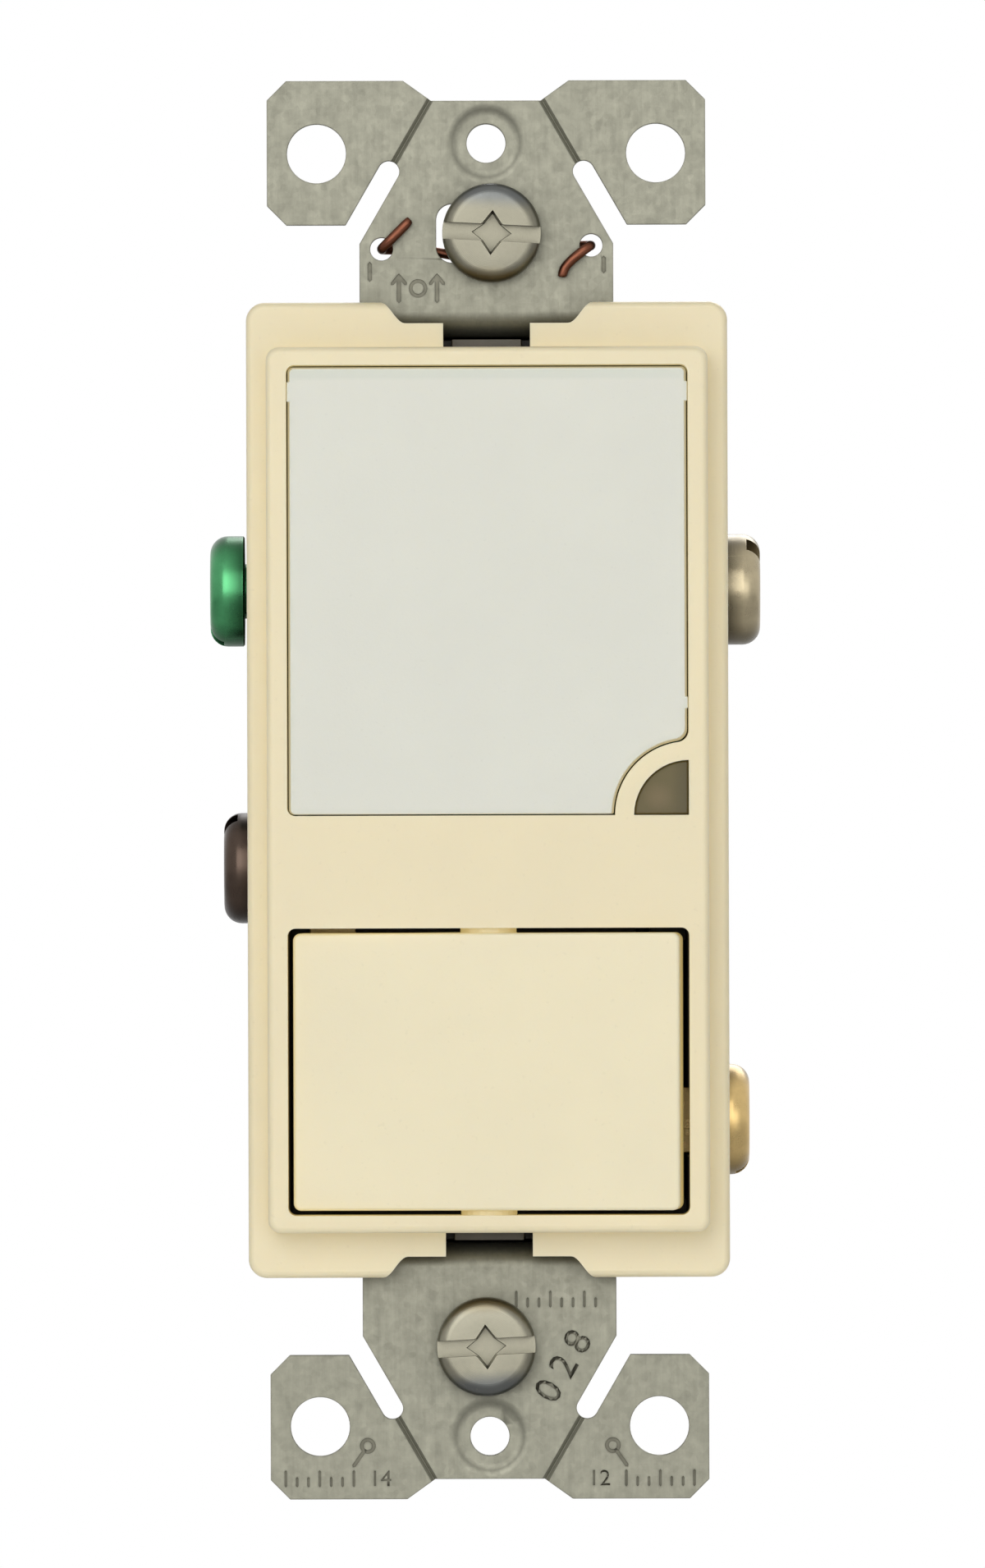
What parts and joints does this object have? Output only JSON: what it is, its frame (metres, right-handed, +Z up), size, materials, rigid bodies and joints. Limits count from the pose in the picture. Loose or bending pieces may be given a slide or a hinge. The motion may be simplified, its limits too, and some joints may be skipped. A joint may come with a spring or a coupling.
{
  "type": "combination night light and rocker switch",
  "caption": "Decorator-size wall device: frosted night light with a light-sensing window above a single-pole rocker switch, on a wrap-around steel strap.",
  "frame": {"origin": "wall plane (the backs of the strap's ears), midway between the two box screws and on the strap's centre line", "axes": "+X to the right seen from the room, +Z up the wall, -Y out into the room"},
  "size_m": [0.0415, 0.0364, 0.1062],
  "materials": {
    "ivory_plastic": "satin moulded thermoplastic, ivory",
    "lens_plastic": "frosted translucent moulding",
    "window_plastic": "dark translucent moulding",
    "galvanised_steel": "galvanised sheet steel",
    "bronze_wire": "phosphor bronze wire",
    "nickel_steel": "nickel-plated steel",
    "green_steel": "green-dyed zinc plate",
    "black_steel": "black oxide plate",
    "brass_plate": "rolled brass",
    "tinned_brass": "tin-plated brass",
    "contact_silver": "silver alloy",
    "housing_plastic": "moulded thermoset, charcoal",
    "vulcanised_fibre": "fibre sheet",
    "acetal": "natural acetal",
    "spring_steel": "spring wire",
    "board_laminate": "solder-masked glass laminate",
    "emitter_epoxy": "clear epoxy over phosphor",
    "white_plastic": "matt white moulding",
    "cell_ceramic": "coated ceramic",
    "black_plastic": "moulded epoxy, black",
    "resistor_coat": "lacquer",
    "capacitor_coat": "epoxy dip",
    "can_sleeve": "shrink sleeve",
    "lead_white": "PVC insulation, white",
    "lead_black": "PVC insulation, black"
  },
  "bodies": {
    "device": {"front_cover": "ivory_plastic", "night_light_lens": "lens_plastic", "sensor_window": "window_plastic", "mounting_strap": "galvanised_steel", "ground_clip": "bronze_wire", "rear_housing": "housing_plastic", "assembly_screws": "nickel_steel", "neutral_terminal": "tinned_brass", "line_terminal": "brass_plate", "load_terminal": "brass_plate", "fixed_contact": "contact_silver", "circuit_board": "board_laminate", "light_emitters": "emitter_epoxy", "reflector_box": "white_plastic", "photocell": "cell_ceramic", "photocell_shroud": "black_plastic", "drop_resistor": "resistor_coat", "film_capacitor": "capacitor_coat", "filter_capacitor": "can_sleeve", "rectifier_diodes": "black_plastic", "switching_transistor": "black_plastic", "neutral_lead": "lead_white", "line_lead": "lead_black"},
    "rocker": {"rocker": "ivory_plastic", "plunger_spring": "spring_steel"},
    "plunger": {"plunger": "acetal"},
    "contact_arm": {"contact_arm": "brass_plate", "moving_contact": "contact_silver"},
    "ground_screw": {"ground_screw": "green_steel"},
    "neutral_screw": {"neutral_screw": "nickel_steel"},
    "line_screw": {"line_screw": "brass_plate"},
    "load_screw": {"load_screw": "black_steel"},
    "box_screw_top": {"mounting_screw_top": "nickel_steel", "screw_washer_top": "vulcanised_fibre"},
    "box_screw_bottom": {"mounting_screw_bottom": "nickel_steel", "screw_washer_bottom": "vulcanised_fibre"}
  },
  "joints": [
    {"name": "rocker_tilt", "type": "hinge", "parent": "device", "child": "rocker", "pos_m": [0, -0.00435, -0.02105], "axis": [0, 0, 1], "range_deg": [0, 8]},
    {"name": "arm_swing", "type": "hinge", "parent": "device", "child": "contact_arm", "pos_m": [0, 0.00795, -0.02105], "axis": [0, 0, 1], "range_deg": [-12, 0]},
    {"name": "plunger_slide", "type": "slide", "parent": "rocker", "child": "plunger", "axis": [0.0698, 0.9976, 0], "range_m": [-0.0006, 0], "stiffness_N_per_m": 300, "springref_m": 0.003, "deforming": ["plunger_spring"]},
    {"name": "ground_screw_travel", "type": "slide", "parent": "device", "child": "ground_screw", "axis": [-1, 0, 0], "range_m": [-0.0004, 0.00262]},
    {"name": "neutral_screw_travel", "type": "slide", "parent": "device", "child": "neutral_screw", "axis": [1, 0, 0], "range_m": [-0.00107, 0.00195]},
    {"name": "line_screw_travel", "type": "slide", "parent": "device", "child": "line_screw", "axis": [1, 0, 0], "range_m": [-0.00014, 0.00293]},
    {"name": "load_screw_travel", "type": "slide", "parent": "device", "child": "load_screw", "axis": [-1, 0, 0], "range_m": [-0.00042, 0.00265]},
    {"name": "box_screw_top_turn", "type": "hinge", "parent": "device", "child": "box_screw_top", "pos_m": [0.0004, 0, 0.04167], "axis": [0, 1, 0], "continuous": true},
    {"name": "box_screw_bottom_turn", "type": "hinge", "parent": "device", "child": "box_screw_bottom", "pos_m": [-0.00025, 0, -0.04167], "axis": [0, 1, 0], "continuous": true}
  ],
  "couplings": [
    {"joint": "arm_swing", "follows": "rocker_tilt", "ratio": -1.5}
  ]
}
